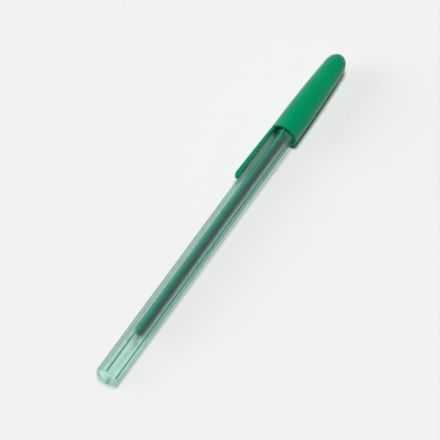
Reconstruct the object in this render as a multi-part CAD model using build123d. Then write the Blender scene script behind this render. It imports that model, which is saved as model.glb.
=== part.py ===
from build123d import *

import os
from math import degrees, sqrt

# A capped stick ballpoint pen lying along X: the middle of its tail end is the origin,
# the cap points to +X and +Z is up. Sizes are in millimetres and angles in degrees.
# Angles about the pen's axis start at +Z and grow towards -Y.

# Barrel, a plain extruded tube
BARREL_DIAMETER = 7.34
BARREL_WALL = 1.25
BARREL_LENGTH = 116.0

# Coloured stripes laid flush into the outside of the barrel
STRIPE_COUNT = 6
STRIPE_WIDTH = 0.5
STRIPE_DEPTH = 0.15
FIRST_STRIPE_ANGLE = 4.4

# Tail plug: a rounded head as wide as the barrel, and a hollow shank pushed into the bore
PLUG_HEAD_LENGTH = 1.2
PLUG_FLAT_DIAMETER = 2.2
PLUG_SHANK_LENGTH = 4.0
PLUG_SHANK_WALL = 0.7
GATE_MARK_DIAMETER = 0.6
GATE_MARK_DEPTH = 0.2
GATE_MARK_OFFSET = 0.6
GATE_MARK_ANGLE = 150.0

# Nose cone: a shank pushed into the bore, a flange against the barrel's end, and a taper
NOSE_SHANK_LENGTH = 8.0
NOSE_SHANK_CHAMFER = 0.4
NOSE_FLANGE_LENGTH = 1.0
NOSE_FLANGE_SETBACK = 0.6
NOSE_TAPER_LENGTH = 17.0
NOSE_FRONT_DIAMETER = 2.9
INK_CHANNEL_DIAMETER = 1.2

# Refill tube and the ink in it
TUBE_DIAMETER = 3.8
TUBE_WALL = 0.5
TUBE_SOCKET_DEPTH = 6.0
TUBE_TAIL_ROOM = 10.5
INK_EMPTY_LENGTH = 3.1
INK_BALL_GAP = 0.05

# Writing point, turned from one bar
POINT_SHANK_DIAMETER = 2.0
POINT_SHANK_LENGTH = 5.0
POINT_BODY_DIAMETER = 2.3
POINT_BODY_LENGTH = 2.5
POINT_TAPER_LENGTH = 6.2
POINT_BORE_DIAMETER = 0.7
POINT_LIP_WALL = 0.1

# Ball, loose in its socket and trapped by the point's lip
BALL_DIAMETER = 1.0
BALL_CLEARANCE = 0.03
BALL_LIP_GRIP = 0.03

# Cap shell
CAP_WALL = 0.85
CAP_MOUTH_GAP = 0.3
CAP_SEAT_DEPTH = 7.6
CAP_LAND_LENGTH = 4.0
CAP_LAND_LEAD = 0.8
CAP_FIT_CLEARANCE = 0.05
CAP_STOP_GAP = 0.05
CAP_STOP_WIDTH = 0.35
CAP_TIP_ROOM = 4.15
CAP_END_WALL = 1.9
CAP_NOSE_LENGTH = 5.3
CAP_NOSE_DIAMETER = 7.4
CAP_NOSE_BLEND_ANGLE = 5.2
CAP_RIM_CHAMFER = 0.2

# Clip, a tongue in one piece with the cap's mouth
CLIP_LENGTH = 23.2
CLIP_WIDTH = 3.4
CLIP_THICKNESS = 1.0
CLIP_FLARE = 0.72
CLIP_FOOT_LENGTH = 1.6
CLIP_FOOT_FLAT = 0.6
CLIP_FOOT_GAP = 0.12
CLIP_FOOT_ROUND = 0.3
CLIP_END_ROUND = 0.9
CLIP_CORNER_ROUND = 1.0
CLIP_ROOT_LENGTH = 2.0
CLIP_ANGLE = -82.0

# Radii that several pieces share
barrel_radius = BARREL_DIAMETER / 2
bore_radius = barrel_radius - BARREL_WALL
tube_radius = TUBE_DIAMETER / 2
tube_bore_radius = tube_radius - TUBE_WALL
ink_channel_radius = INK_CHANNEL_DIAMETER / 2
point_bore_radius = POINT_BORE_DIAMETER / 2
point_shank_radius = POINT_SHANK_DIAMETER / 2
ball_radius = BALL_DIAMETER / 2
nose_front_radius = NOSE_FRONT_DIAMETER / 2
cap_mouth_bore_radius = barrel_radius + CAP_MOUTH_GAP
cap_mouth_radius = cap_mouth_bore_radius + CAP_WALL

# Stations along the pen, from the tail to the cap's tip
barrel_tail_x = PLUG_HEAD_LENGTH
barrel_front_x = barrel_tail_x + BARREL_LENGTH
plug_end_x = barrel_tail_x + PLUG_SHANK_LENGTH
nose_rear_x = barrel_front_x - NOSE_SHANK_LENGTH
nose_taper_x = barrel_front_x + NOSE_FLANGE_LENGTH
nose_front_x = nose_taper_x + NOSE_TAPER_LENGTH
tube_tail_x = plug_end_x + TUBE_TAIL_ROOM
tube_front_x = nose_rear_x + TUBE_SOCKET_DEPTH
ink_tail_x = tube_tail_x + INK_EMPTY_LENGTH
point_rear_x = nose_front_x - POINT_SHANK_LENGTH
point_taper_x = nose_front_x + POINT_BODY_LENGTH
point_lip_x = point_taper_x + POINT_TAPER_LENGTH

# The lip closes over the ball, so its opening is a little narrower than the ball
socket_radius = ball_radius + BALL_CLEARANCE
lip_opening_radius = ball_radius - BALL_LIP_GRIP
ball_x = point_lip_x - sqrt(socket_radius**2 - lip_opening_radius**2)
ball_front_x = ball_x + ball_radius
ink_front_x = ball_x - ball_radius - INK_BALL_GAP

cap_mouth_x = barrel_front_x - CAP_SEAT_DEPTH
cap_stop_x = barrel_front_x + CAP_STOP_GAP
cap_tip_x = ball_front_x + CAP_TIP_ROOM + CAP_END_WALL
cap_nose_x = cap_tip_x - CAP_NOSE_LENGTH
clip_end_x = cap_mouth_x - CLIP_LENGTH


def turned(outline, arc=360.0):
    """Turn a closed outline, drawn with Y as the radius, about the pen's axis."""
    return revolve(make_face(outline), Axis.X, arc)


def turned_points(*points):
    """Turn a closed outline of straight lines about the pen's axis."""
    return turned(Polyline(*points, close=True))


def at_angle(solid, angle):
    """Turn a solid that lies towards +Z to its angle about the pen's axis."""
    return Rot(angle, 0, 0) * solid


def towards_up(solid, arc):
    """Centre a solid that was turned through an arc, starting at +Y, on +Z."""
    return Rot((180 - arc) / 2, 0, 0) * solid


def rod(start_x, end_x, radius):
    """A plain round bar along the pen's axis."""
    return turned_points((start_x, 0), (start_x, radius), (end_x, radius), (end_x, 0))


def make_stripes():
    """The stripes as one strip after another around the barrel."""
    arc = degrees(STRIPE_WIDTH / barrel_radius)
    floor_radius = barrel_radius - STRIPE_DEPTH
    section = Polyline(
        (barrel_tail_x, floor_radius),
        (barrel_tail_x, barrel_radius),
        (barrel_front_x, barrel_radius),
        (barrel_front_x, floor_radius),
        close=True,
    )
    strip = towards_up(turned(section, arc), arc)
    spacing = 360.0 / STRIPE_COUNT
    return [at_angle(strip, FIRST_STRIPE_ANGLE + index * spacing) for index in range(STRIPE_COUNT)]


def make_barrel(stripes):
    """The tube, with a groove for each stripe."""
    tube = turned_points(
        (barrel_tail_x, bore_radius),
        (barrel_tail_x, barrel_radius),
        (barrel_front_x, barrel_radius),
        (barrel_front_x, bore_radius),
    )
    return tube - stripes


def make_tail_plug():
    """A flat end that rounds over to the barrel's outside, on a hollow shank."""
    flat_radius = PLUG_FLAT_DIAMETER / 2
    rounding = EllipticalCenterArc(
        (barrel_tail_x, flat_radius),
        x_radius=PLUG_HEAD_LENGTH,
        y_radius=barrel_radius - flat_radius,
        start_angle=90,
        arc_size=90,
    )
    shank_bore_radius = bore_radius - PLUG_SHANK_WALL
    back = Polyline(
        rounding @ 1,
        (0, 0),
        (barrel_tail_x, 0),
        (barrel_tail_x, shank_bore_radius),
        (plug_end_x, shank_bore_radius),
        (plug_end_x, bore_radius),
        (barrel_tail_x, bore_radius),
        rounding @ 0,
    )
    plug = turned(rounding + back)
    gate_mark = Pos(GATE_MARK_DEPTH / 2, 0, GATE_MARK_OFFSET) * Cylinder(
        GATE_MARK_DIAMETER / 2, GATE_MARK_DEPTH, rotation=(0, 90, 0)
    )
    return plug - at_angle(gate_mark, GATE_MARK_ANGLE)


def make_nose_cone():
    """The taper that closes the barrel, bored for the tube, the ink and the point."""
    flange_radius = barrel_radius - NOSE_FLANGE_SETBACK
    body = turned_points(
        (nose_rear_x, 0),
        (nose_rear_x, bore_radius - NOSE_SHANK_CHAMFER),
        (nose_rear_x + NOSE_SHANK_CHAMFER, bore_radius),
        (barrel_front_x, bore_radius),
        (barrel_front_x, flange_radius),
        (nose_taper_x, flange_radius),
        (nose_front_x, nose_front_radius),
        (nose_front_x, 0),
    )
    tube_socket = rod(nose_rear_x, tube_front_x, tube_radius)
    ink_channel = rod(tube_front_x, point_rear_x, ink_channel_radius)
    point_socket = rod(point_rear_x, nose_front_x, point_shank_radius)
    return body - tube_socket - ink_channel - point_socket


def make_refill_tube():
    """A thin tube from the nose cone's socket to near the tail."""
    return turned_points(
        (tube_tail_x, tube_bore_radius),
        (tube_tail_x, tube_radius),
        (tube_front_x, tube_radius),
        (tube_front_x, tube_bore_radius),
    )


def make_ink_column():
    """The ink from its free end in the tube to just behind the ball."""
    return turned_points(
        (ink_tail_x, 0),
        (ink_tail_x, tube_bore_radius),
        (tube_front_x, tube_bore_radius),
        (tube_front_x, ink_channel_radius),
        (point_rear_x, ink_channel_radius),
        (point_rear_x, point_bore_radius),
        (ink_front_x, point_bore_radius),
        (ink_front_x, 0),
    )


def make_writing_point():
    """The turned tip, bored for the ink and cut out for the ball."""
    body_radius = POINT_BODY_DIAMETER / 2
    lip_radius = lip_opening_radius + POINT_LIP_WALL
    tip = turned_points(
        (point_rear_x, 0),
        (point_rear_x, point_shank_radius),
        (nose_front_x, point_shank_radius),
        (nose_front_x, body_radius),
        (point_taper_x, body_radius),
        (point_lip_x, lip_radius),
        (point_lip_x, 0),
    )
    return tip - rod(point_rear_x, ball_x, point_bore_radius) - Pos(ball_x, 0, 0) * Sphere(socket_radius)


def make_ball():
    """The ball at the pen's tip."""
    return Pos(ball_x, 0, 0) * Sphere(ball_radius)


def make_cap_outside():
    """The cap as a full body: a chamfered rim, a long bow and a bullet nose."""
    nose = EllipticalCenterArc(
        (cap_nose_x, 0),
        x_radius=CAP_NOSE_LENGTH,
        y_radius=CAP_NOSE_DIAMETER / 2,
        arc_size=90 - CAP_NOSE_BLEND_ANGLE,
    )
    rim_x = cap_mouth_x + CAP_RIM_CHAMFER
    bow = TangentArc(nose @ 1, (rim_x, cap_mouth_radius), tangent=nose % 1)
    rim_radius = cap_mouth_radius - CAP_RIM_CHAMFER
    back = Polyline(bow @ 1, (cap_mouth_x, rim_radius), (cap_mouth_x, 0), nose @ 0)
    return turned(nose + bow + back)


def make_cap_hollow():
    """The space in the cap: mouth, gripping land, stop for the barrel, and room for the point."""
    land_radius = barrel_radius + CAP_FIT_CLEARANCE
    land_x = cap_stop_x - CAP_LAND_LENGTH
    inner_end = EllipticalCenterArc(
        (cap_nose_x, 0),
        x_radius=CAP_NOSE_LENGTH - CAP_END_WALL,
        y_radius=CAP_NOSE_DIAMETER / 2 - CAP_WALL,
        arc_size=90,
    )
    walls = Polyline(
        inner_end @ 1,
        (cap_stop_x, barrel_radius - CAP_STOP_WIDTH),
        (cap_stop_x, land_radius),
        (land_x, land_radius),
        (land_x - CAP_LAND_LEAD, cap_mouth_bore_radius),
        (cap_mouth_x, cap_mouth_bore_radius),
        (cap_mouth_x, 0),
        inner_end @ 0,
    )
    return turned(inner_end + walls)


def make_clip():
    """The tongue: a bowed strip with a foot that nearly meets the barrel, and rounded corners."""
    root_x = cap_mouth_x + CLIP_ROOT_LENGTH
    flare_slope = CLIP_FLARE / CLIP_LENGTH
    end_radius = cap_mouth_radius + CLIP_FLARE
    foot_x = clip_end_x + CLIP_FOOT_LENGTH
    foot_top_radius = end_radius - flare_slope * CLIP_FOOT_LENGTH - CLIP_THICKNESS
    foot_radius = barrel_radius + CLIP_FOOT_GAP
    section = FilletPolyline(
        (root_x, cap_mouth_bore_radius + CAP_WALL / 2),
        (root_x, cap_mouth_radius - flare_slope * CLIP_ROOT_LENGTH),
        (clip_end_x, end_radius),
        (clip_end_x, foot_radius),
        (clip_end_x + CLIP_FOOT_FLAT, foot_radius),
        (foot_x, foot_top_radius),
        (cap_mouth_x, cap_mouth_bore_radius),
        radius=[0, 0, CLIP_END_ROUND, CLIP_FOOT_ROUND, CLIP_FOOT_ROUND, 0, 0],
        close=True,
    )
    arc = 90.0
    strip = towards_up(turned(section, arc), arc)
    plan_length = root_x - clip_end_x + CLIP_CORNER_ROUND
    plan = RectangleRounded(plan_length, CLIP_WIDTH, CLIP_CORNER_ROUND)
    blank = extrude(Pos(clip_end_x + plan_length / 2, 0) * plan, end_radius)
    return at_angle(strip & blank, CLIP_ANGLE)


def make_cap():
    """The cap shell with its clip, one moulding."""
    return make_cap_outside() + make_clip() - make_cap_hollow()


stripes = make_stripes()
nodes = {
    "cap": make_cap(),
    "barrel": make_barrel(stripes),
    "barrel_stripes": Compound(children=stripes),
    "tail_plug": make_tail_plug(),
    "nose_cone": make_nose_cone(),
    "refill_tube": make_refill_tube(),
    "ink_column": make_ink_column(),
    "writing_point": make_writing_point(),
    "ball": make_ball(),
}

os.makedirs("parts", exist_ok=True)
for name, solid in nodes.items():
    export_step(solid, f"parts/{name}.step")

print(f"capped length {cap_tip_x:.2f} mm, cap mouth at {cap_mouth_x:.2f} mm, clip end at {clip_end_x:.2f} mm")
print(f"uncapped length {ball_front_x:.2f} mm, ball centre at {ball_x:.3f} mm")
print(f"cap mouth diameter {2 * cap_mouth_radius:.2f} mm")
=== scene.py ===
from math import cos, hypot, pi, radians, sin

import bpy
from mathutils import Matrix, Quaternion, Vector


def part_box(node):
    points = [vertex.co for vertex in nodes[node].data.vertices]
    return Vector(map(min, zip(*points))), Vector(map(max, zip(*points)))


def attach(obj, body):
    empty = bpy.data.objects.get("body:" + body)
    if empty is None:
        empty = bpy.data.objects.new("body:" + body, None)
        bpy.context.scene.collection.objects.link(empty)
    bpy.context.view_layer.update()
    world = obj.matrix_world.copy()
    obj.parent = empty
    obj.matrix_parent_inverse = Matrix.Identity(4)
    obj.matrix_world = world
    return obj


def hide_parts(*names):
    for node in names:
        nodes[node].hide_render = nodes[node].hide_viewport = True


# A capped stick ballpoint pen that lies on a pale table: green cap with its clip, frosted
# see-through barrel with green stripes, and the ink tube inside. Sizes are in metres.
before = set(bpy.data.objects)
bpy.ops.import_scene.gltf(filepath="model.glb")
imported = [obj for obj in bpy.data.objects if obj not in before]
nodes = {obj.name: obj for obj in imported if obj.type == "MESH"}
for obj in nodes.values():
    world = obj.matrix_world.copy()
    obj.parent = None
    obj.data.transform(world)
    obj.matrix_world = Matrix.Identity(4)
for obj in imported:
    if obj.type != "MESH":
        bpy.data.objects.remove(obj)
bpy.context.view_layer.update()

MM = 0.001
WHITE = (1, 1, 1, 1)

# The photograph's view, in the pen's own frame, with the sensor and the lens in millimetres
CAMERA_PLACE = Vector((-0.22177, -0.17264, 0.44598))
CAMERA_AIM = Vector((0.06896, 0.00045, 0.0))
CAMERA_ROLL = radians(-0.53)
CAMERA_SENSOR = 36.0
CAMERA_LENS = 143.9
CAMERA_CLIP_START = 0.01

# Light and table
SKY_STRENGTH = 0.06
KEY_STRENGTH = 2.70
KEY_SOFTNESS = radians(20)
KEY_FROM = Vector((-0.10, -0.06, 1.0))
FILL_STRENGTH = 2.10
FILL_SOFTNESS = radians(60)
FILL_FROM = Vector((-0.50, 0.85, 0.12))
TABLE_SIZE = 3.0
TABLE_ROUGHNESS = 0.9
TABLE_GLOSS = 0.1
PALE = (0.86, 0.86, 0.86, 1)

# How patterns run: the same each way, drawn out along the pen, in rings about its axis, or
# with the place along the pen left out
EVEN = (1, 1, 1)
DRAWN = (0.1, 1, 1)
DRAWN_INK = (0.15, 1, 1)
RINGED = (1, 0.02, 0.02)
ACROSS_ONLY = (0, 1, 1)

# The middle part of a cloud pattern, which holds most of its values
PATTERN_LOW = 0.3
PATTERN_HIGH = 0.7

# Moulded green plastic
CAP_GREEN = (0.000, 0.285, 0.120, 1)
CAP_GREEN_DEEP = (0.000, 0.260, 0.106, 1)
CAP_GLOSS_TINT = (0.0, 0.8, 0.5, 1)
CAP_GLOSS = 0.2
CAP_ROUGHNESS = (0.18, 0.26)
CAP_COLOUR_PATCH = 6 * MM
CAP_GLOSS_PATCH = 2 * MM
MOULD_GRAIN = 0.12 * MM
MOULD_GRAIN_HEIGHT = 0.004 * MM

# Frosted plastic: its colour, the tint of light on its way through, and how much of it
FROST_TINT = (1.00, 1.00, 1.00, 1)
FROST_TINT_DEEP = (0.96, 0.98, 0.97, 1)
FROST_DEPTH = (0.0, 0.92, 0.60, 1)
FROST_LIMB = (0.80, 0.83, 0.81, 1)
FROST_IOR = 1.10
FROST_ROUGHNESS = (0.80, 0.90)
FROST_COLOUR_PATCH = 1.5 * MM
FROST_GLOSS_PATCH = 0.6 * MM
BARREL_DENSITY = 45
PLUG_DENSITY = 60

# Light that slants in takes on the limb's tint between these two degrees of slant, of 0 to 1
SLANT_START = 0.25
SLANT_END = 0.7

# The barrel's skin fades out between these distances from the axis, as the bore has none
SKIN_TINT = (0.905, 0.94, 0.93, 1)
SKIN_IOR = 1.02
SKIN_ROUGHNESS = 0.6
SKIN_START = 2.6 * MM
SKIN_END = 3.4 * MM

# Green of the stripes, and the tint of light that has passed them
STRIPE_GREEN = (0.024, 0.325, 0.199, 1)
STRIPE_GREEN_DEEP = (0.020, 0.275, 0.165, 1)
STRIPE_LIGHT = (0.60, 0.69, 0.65, 1)
STRIPE_ALPHA = 0.8
STRIPE_ROUGHNESS = (0.35, 0.5)
STRIPE_COLOUR_PATCH = 3 * MM

# Clear plastic of the refill tube
TUBE_TINT = (0.92, 0.98, 0.96, 1)
TUBE_TINT_DEEP = (0.88, 0.96, 0.93, 1)
TUBE_IOR = 1.2
TUBE_ROUGHNESS = (0.03, 0.08)
TUBE_COLOUR_PATCH = 2 * MM
TUBE_GLOSS_PATCH = 0.8 * MM

# Dark ink, whose side that faces the lamps is painted a lighter teal as painted light. The painted
# light sets in between two distances from the axis.
INK_DARK = (0.030, 0.046, 0.058, 1)
INK_LIGHT = (0.038, 0.060, 0.072, 1)
INK_PAINTED_LIT_SIDE = (0.080, 0.265, 0.235, 1)
INK_GLOSS = 0.0
INK_ROUGHNESS = (0.25, 0.4)
INK_COLOUR_PATCH = 1.2 * MM
INK_GLOSS_PATCH = 1.0 * MM
PAINTED_LIGHT_TOWARDS = Vector((0, 0.72, 0.69))
PAINTED_LIGHT_START = 0.38 * MM
PAINTED_LIGHT_END = 0.72 * MM

# Turned metals
BRASS = (0.78, 0.66, 0.42, 1)
BRASS_DEEP = (0.62, 0.50, 0.29, 1)
STEEL = (0.60, 0.60, 0.62, 1)
STEEL_DEEP = (0.48, 0.48, 0.50, 1)
METAL_ROUGHNESS = (0.18, 0.32)
METAL_COLOUR_PATCH = 1.0 * MM
TURNING_RING = 0.08 * MM
TURNING_HEIGHT = 0.003 * MM

# Small shapes that only the eye needs
STRIPE_RISE = 0.02 * MM
EDGE_ROUND = 0.10 * MM
WETTING = 0.02 * MM
AIR_GAP = 0.02 * MM
INK_TAIL_LENGTH = 0.6 * MM
INK_TAIL_STEPS = 8

# Fineness of turned meshes, and the decimals to which points of the frame count as the same
LATHE_SEGMENTS = 144
SHARP_ANGLE = radians(40)
OUTLINE_DECIMALS = 6
HEIGHT_DECIMALS = 5


class Material:
    """A material whose one shader is fed by a few pattern nodes in the pen's own frame."""

    def __init__(self, name):
        self.material = bpy.data.materials.new(name)
        self.material.use_nodes = True
        self.tree = self.material.node_tree
        self.shader = self.tree.nodes["Principled BSDF"]
        self.end = self.tree.nodes["Material Output"]
        self.place = self.tree.nodes.new("ShaderNodeTexCoord").outputs["Object"]

    def set(self, **values):
        """Set plain values on the shader, with _ for each space in a socket's name."""
        for name, value in values.items():
            self.shader.inputs[name.replace("_", " ")].default_value = value
        return self

    def link(self, output, target):
        """Join two sockets."""
        self.tree.links.new(output, target)

    def feed(self, name, output):
        """Let a node drive one of the shader's sockets."""
        self.link(output, self.shader.inputs[name])
        return self

    def stretched(self, scale):
        """The pen's frame with each axis scaled, so that a pattern can run along the pen."""
        mapping = self.tree.nodes.new("ShaderNodeMapping")
        mapping.inputs["Scale"].default_value = scale
        self.link(self.place, mapping.inputs["Vector"])
        return mapping.outputs["Vector"]

    def noise(self, size, stretch=EVEN):
        """A grey cloud pattern whose blobs are about this size."""
        noise = self.tree.nodes.new("ShaderNodeTexNoise")
        noise.inputs["Scale"].default_value = 1 / size
        self.link(self.stretched(stretch), noise.inputs["Vector"])
        return noise.outputs["Fac"]

    def spread(self, factor, low, high, start=PATTERN_LOW, end=PATTERN_HIGH):
        """Map a factor's range from start to end to another range of numbers."""
        spread = self.tree.nodes.new("ShaderNodeMapRange")
        spread.inputs["From Min"].default_value = start
        spread.inputs["From Max"].default_value = end
        spread.inputs["To Min"].default_value = low
        spread.inputs["To Max"].default_value = high
        self.link(factor, spread.inputs["Value"])
        return spread.outputs["Result"]

    def mix(self, factor, colour):
        """A blend towards a colour, whose first colour is still to be set."""
        mix = self.tree.nodes.new("ShaderNodeMix")
        mix.data_type = "RGBA"
        mix.inputs["B"].default_value = colour
        self.link(factor, mix.inputs["Factor"])
        return mix

    def colour(self, pattern, low, high):
        """Feed the base colour with a blend of two colours."""
        mix = self.mix(self.spread(pattern, 0, 1), high)
        mix.inputs["A"].default_value = low
        return self.feed("Base Color", mix.outputs["Result"])

    def over(self, factor, colour):
        """Lay one more colour over the base colour."""
        below = self.shader.inputs["Base Color"].links[0].from_socket
        mix = self.mix(factor, colour)
        self.link(below, mix.inputs["A"])
        return self.feed("Base Color", mix.outputs["Result"])

    def roughness(self, pattern, limits):
        """Let the roughness vary between two limits."""
        return self.feed("Roughness", self.spread(pattern, *limits))

    def bump(self, pattern, height):
        """Raise a fine relief."""
        bump = self.tree.nodes.new("ShaderNodeBump")
        bump.inputs["Distance"].default_value = height
        self.link(pattern, bump.inputs["Height"])
        return self.feed("Normal", bump.outputs["Normal"])

    def let_light_through(self, tint, slanting=None):
        """Let lamp light and soft light straight through, with another tint where it slants in."""
        clear = self.tree.nodes.new("ShaderNodeBsdfTransparent")
        clear.inputs["Color"].default_value = tint
        if slanting:
            slant = self.tree.nodes.new("ShaderNodeLayerWeight").outputs["Facing"]
            mix = self.mix(self.spread(slant, 0, 1, SLANT_START, SLANT_END), slanting)
            mix.inputs["A"].default_value = tint
            self.link(mix.outputs["Result"], clear.inputs["Color"])
        path = self.tree.nodes.new("ShaderNodeLightPath")
        surface = self.shader.outputs["BSDF"]
        for kind in ("Is Diffuse Ray", "Is Shadow Ray"):
            mix = self.tree.nodes.new("ShaderNodeMixShader")
            self.link(path.outputs[kind], mix.inputs["Fac"])
            self.link(surface, mix.inputs[1])
            self.link(clear.outputs["BSDF"], mix.inputs[2])
            surface = mix.outputs["Shader"]
        self.link(surface, self.end.inputs["Surface"])
        return self

    def absorb(self, colour, density):
        """Tint the light by its way through the plastic."""
        absorption = self.tree.nodes.new("ShaderNodeVolumeAbsorption")
        absorption.inputs["Color"].default_value = colour
        absorption.inputs["Density"].default_value = density
        self.link(absorption.outputs["Volume"], self.end.inputs["Volume"])
        return self

    def skin(self, tint):
        """A thin tinted skin on the outside, which darkens where it is seen aslant."""
        distance = self.tree.nodes.new("ShaderNodeVectorMath")
        distance.operation = "LENGTH"
        self.link(self.stretched(ACROSS_ONLY), distance.inputs[0])
        self.feed("Coat Weight", self.spread(distance.outputs["Value"], 0, 1, SKIN_START, SKIN_END))
        return self.set(Coat_IOR=SKIN_IOR, Coat_Roughness=SKIN_ROUGHNESS, Coat_Tint=tint)

    def facing(self, direction):
        """How far, in metres, a point lies from the pen's axis in a direction."""
        dot = self.tree.nodes.new("ShaderNodeVectorMath")
        dot.operation = "DOT_PRODUCT"
        dot.inputs[1].default_value = direction
        self.link(self.place, dot.inputs[0])
        return dot.outputs["Value"]


def moulded_green():
    """Matt green plastic with a soft sheen and the fine skin of a mould."""
    m = Material("moulded_green")
    m.set(Specular_Tint=CAP_GLOSS_TINT, Specular_IOR_Level=CAP_GLOSS)
    m.colour(m.noise(CAP_COLOUR_PATCH), CAP_GREEN_DEEP, CAP_GREEN)
    m.roughness(m.noise(CAP_GLOSS_PATCH), CAP_ROUGHNESS)
    m.bump(m.noise(MOULD_GRAIN), MOULD_GRAIN_HEIGHT)
    return m.material


def frosted(name, density, skin=None):
    """Frosted see-through plastic drawn along the pen."""
    m = Material(name)
    m.set(Transmission_Weight=1.0, IOR=FROST_IOR)
    if skin:
        m.skin(skin)
    m.colour(m.noise(FROST_COLOUR_PATCH, DRAWN), FROST_TINT_DEEP, FROST_TINT)
    m.roughness(m.noise(FROST_GLOSS_PATCH, DRAWN), FROST_ROUGHNESS)
    m.let_light_through(WHITE, FROST_LIMB)
    m.absorb(FROST_DEPTH, density)
    return m.material


def striped_green():
    """The stripes' green, with the same drawn skin as the barrel."""
    m = Material("striped_green")
    m.set(Alpha=STRIPE_ALPHA)
    m.colour(m.noise(STRIPE_COLOUR_PATCH, DRAWN), STRIPE_GREEN_DEEP, STRIPE_GREEN)
    m.roughness(m.noise(FROST_GLOSS_PATCH, DRAWN), STRIPE_ROUGHNESS)
    m.let_light_through(STRIPE_LIGHT)
    return m.material


def refill_plastic():
    """Thin clear tube, smoother than the barrel."""
    m = Material("refill_plastic")
    m.set(Transmission_Weight=1.0, IOR=TUBE_IOR)
    m.colour(m.noise(TUBE_COLOUR_PATCH, DRAWN), TUBE_TINT_DEEP, TUBE_TINT)
    m.roughness(m.noise(TUBE_GLOSS_PATCH, DRAWN), TUBE_ROUGHNESS)
    m.let_light_through(TUBE_TINT)
    return m.material


def ink_paste():
    """Dark ink, painted a lighter teal on the side that faces the lamps, as painted light."""
    m = Material("ink_paste")
    m.set(Specular_IOR_Level=INK_GLOSS)
    m.colour(m.noise(INK_COLOUR_PATCH, DRAWN_INK), INK_DARK, INK_LIGHT)
    # Painted light: the side of the ink towards the lamps is painted a lighter teal
    m.over(m.spread(m.facing(PAINTED_LIGHT_TOWARDS), 0, 1, PAINTED_LIGHT_START, PAINTED_LIGHT_END), INK_PAINTED_LIT_SIDE)
    m.roughness(m.noise(INK_GLOSS_PATCH), INK_ROUGHNESS)
    return m.material


def turned_metal(name, low, high):
    """Bright metal with fine turning rings about the pen's axis."""
    m = Material(name)
    m.set(Metallic=1.0)
    m.colour(m.noise(METAL_COLOUR_PATCH), low, high)
    m.roughness(m.noise(TURNING_RING, RINGED), METAL_ROUGHNESS)
    m.bump(m.noise(TURNING_RING, RINGED), TURNING_HEIGHT)
    return m.material


def distance_from_axis(co):
    return hypot(co.y, co.z)


def lathe(name, outline, closed=True):
    """A smooth mesh turned about the pen's axis from (x, radius) points, with flat ends if open."""
    vertices, faces = [], []
    for x, radius in outline:
        for step in range(LATHE_SEGMENTS):
            angle = 2 * pi * step / LATHE_SEGMENTS
            vertices.append((x, radius * sin(angle), radius * cos(angle)))
    rings = len(outline)
    for ring in range(rings if closed else rings - 1):
        here = ring * LATHE_SEGMENTS
        following = (ring + 1) % rings * LATHE_SEGMENTS
        for step in range(LATHE_SEGMENTS):
            side = (step + 1) % LATHE_SEGMENTS
            faces.append((here + step, following + step, following + side, here + side))
    if not closed:
        last = (rings - 1) * LATHE_SEGMENTS
        faces.append(range(LATHE_SEGMENTS))
        faces.append(range(last + LATHE_SEGMENTS - 1, last - 1, -1))
    mesh = bpy.data.meshes.new(name)
    mesh.from_pydata(vertices, [], faces)
    mesh.shade_smooth()
    mesh.set_sharp_from_angle(angle=SHARP_ANGLE)
    piece = bpy.data.objects.new(name, mesh)
    bpy.context.scene.collection.objects.link(piece)
    return piece


def finish_piece(piece, material, node):
    """Let a turned piece stand for its CAD node on the pen."""
    piece.data.materials.append(material)
    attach(piece, "pen")
    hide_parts(node)


def tube_outline(name, rise):
    """A tube's outline with softened edges, its outside lowered by a rise."""
    low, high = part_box(name)
    outer = high.z - rise
    bore = min(distance_from_axis(v.co) for v in nodes[name].data.vertices)
    return [
        (low.x, bore + EDGE_ROUND),
        (low.x, outer - EDGE_ROUND),
        (low.x + EDGE_ROUND, outer),
        (high.x - EDGE_ROUND, outer),
        (high.x, outer - EDGE_ROUND),
        (high.x, bore + EDGE_ROUND),
        (high.x - EDGE_ROUND, bore),
        (low.x + EDGE_ROUND, bore),
    ]


def ink_outline():
    """The ink's outline from a round tail to its front, a hair into the wall that it wets."""
    steps = {
        (round(v.co.x, OUTLINE_DECIMALS), round(distance_from_axis(v.co), OUTLINE_DECIMALS))
        for v in nodes["ink_column"].data.vertices
    }
    wet = [(x, radius + WETTING) for x, radius in steps if radius]
    wet.sort(key=lambda point: (point[0], -point[1]))
    tail_x, tail_radius = wet[0]
    tail = []
    for step in reversed(range(INK_TAIL_STEPS)):
        angle = pi / 2 * step / INK_TAIL_STEPS
        tail.append((tail_x + INK_TAIL_LENGTH * (1 - sin(angle)), tail_radius * cos(angle)))
    return tail + wet[1:]


def make_barrel(frost):
    """The barrel as a fine tube, a hair thinner than its stripes so that they show whole."""
    barrel = lathe("frosted_barrel", tube_outline("barrel", STRIPE_RISE))
    finish_piece(barrel, frost, "barrel")


def make_refill(plastic, ink):
    """The refill's tube and the ink in it."""
    tube = lathe("clear_refill_tube", tube_outline("refill_tube", 0))
    finish_piece(tube, plastic, "refill_tube")
    column = lathe("ink_paste_column", ink_outline(), closed=False)
    finish_piece(column, ink, "ink_column")


def dress(name, material, swell=0.0):
    """Give a CAD node its finish, and swell or shrink its skin by a hair."""
    mesh = nodes[name].data
    mesh.materials.clear()
    mesh.materials.append(material)
    if swell:
        skin = nodes[name].modifiers.new("skin", "DISPLACE")
        skin.mid_level = 0.0
        skin.strength = swell


def lowest_point(name):
    """A node's lowest point, or of several as low the one nearest to the tail."""
    points = (v.co for v in nodes[name].data.vertices)
    return min(points, key=lambda co: (round(co.z, HEIGHT_DECIMALS), co.x))


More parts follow.
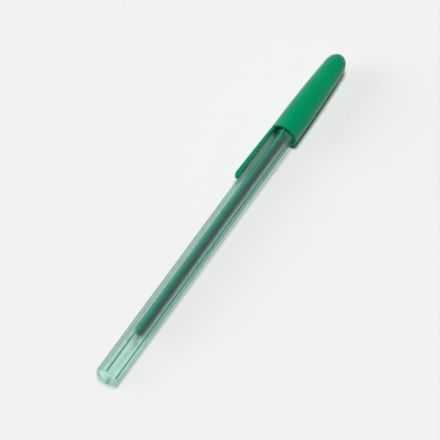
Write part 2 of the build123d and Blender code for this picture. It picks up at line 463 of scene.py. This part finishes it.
def make_table():
    """A pale table that touches the cap's mouth and the barrel's tail end."""
    tail = lowest_point("barrel")
    mouth = lowest_point("cap")
    slope = (mouth.z - tail.z) / (mouth.x - tail.x)
    bpy.ops.mesh.primitive_plane_add(size=TABLE_SIZE)
    table = bpy.context.object
    table.name = "table"
    table.rotation_euler = Vector((1, 0, slope)).to_track_quat("X", "Z").to_euler()
    table.location = (tail.x, 0, tail.z)
    m = Material("table_white")
    m.set(Base_Color=PALE, Roughness=TABLE_ROUGHNESS, Specular_IOR_Level=TABLE_GLOSS)
    table.data.materials.append(m.material)


def make_sky():
    """A faint even sky for light, which looks as pale as the table to the eye and in gloss."""
    world = bpy.data.worlds.new("soft_sky")
    world.use_nodes = True
    parts, links = world.node_tree.nodes, world.node_tree.links
    sky = parts["Background"]
    sky.inputs["Color"].default_value = WHITE
    sky.inputs["Strength"].default_value = SKY_STRENGTH
    backdrop = parts.new("ShaderNodeBackground")
    backdrop.inputs["Color"].default_value = PALE
    path = parts.new("ShaderNodeLightPath")
    seen = path.outputs["Is Camera Ray"]
    for kind in ("Is Glossy Ray", "Is Transmission Ray"):
        either = parts.new("ShaderNodeMath")
        either.operation = "MAXIMUM"
        links.new(seen, either.inputs[0])
        links.new(path.outputs[kind], either.inputs[1])
        seen = either.outputs["Value"]
    mix = parts.new("ShaderNodeMixShader")
    links.new(seen, mix.inputs["Fac"])
    links.new(sky.outputs["Background"], mix.inputs[1])
    links.new(backdrop.outputs["Background"], mix.inputs[2])
    links.new(mix.outputs["Shader"], parts["World Output"].inputs["Surface"])
    bpy.context.scene.world = world


def make_lamp(name, strength, softness, towards, gloss):
    """A wide soft light from one side, which glossy plastic mirrors only if asked."""
    lamp = bpy.data.lights.new(name, "SUN")
    lamp.energy = strength
    lamp.angle = softness
    holder = bpy.data.objects.new(name, lamp)
    holder.rotation_euler = towards.to_track_quat("Z", "Y").to_euler()
    holder.visible_glossy = gloss
    holder.visible_transmission = False
    bpy.context.scene.collection.objects.link(holder)


def make_camera():
    """A camera at the photograph's view."""
    lens = bpy.data.cameras.new("camera")
    lens.sensor_width = CAMERA_SENSOR
    lens.lens = CAMERA_LENS
    lens.clip_start = CAMERA_CLIP_START
    camera = bpy.data.objects.new("camera", lens)
    camera.location = CAMERA_PLACE
    aim = (CAMERA_AIM - CAMERA_PLACE).to_track_quat("-Z", "Y")
    camera.rotation_euler = (aim @ Quaternion((0, 0, 1), CAMERA_ROLL)).to_euler()
    bpy.context.scene.collection.objects.link(camera)
    bpy.context.scene.camera = camera


green = moulded_green()
dress("cap", green)
dress("nose_cone", green)
make_barrel(frosted("frosted_mint", BARREL_DENSITY, SKIN_TINT))
dress("tail_plug", frosted("frosted_plug", PLUG_DENSITY), -AIR_GAP)
dress("barrel_stripes", striped_green())
make_refill(refill_plastic(), ink_paste())
dress("writing_point", turned_metal("turned_brass", BRASS_DEEP, BRASS))
dress("ball", turned_metal("ground_steel", STEEL_DEEP, STEEL))

make_table()
make_sky()
make_lamp("key", KEY_STRENGTH, KEY_SOFTNESS, KEY_FROM, gloss=False)
make_lamp("fill", FILL_STRENGTH, FILL_SOFTNESS, FILL_FROM, gloss=True)
make_camera()
bpy.context.scene.view_settings.view_transform = "Standard"
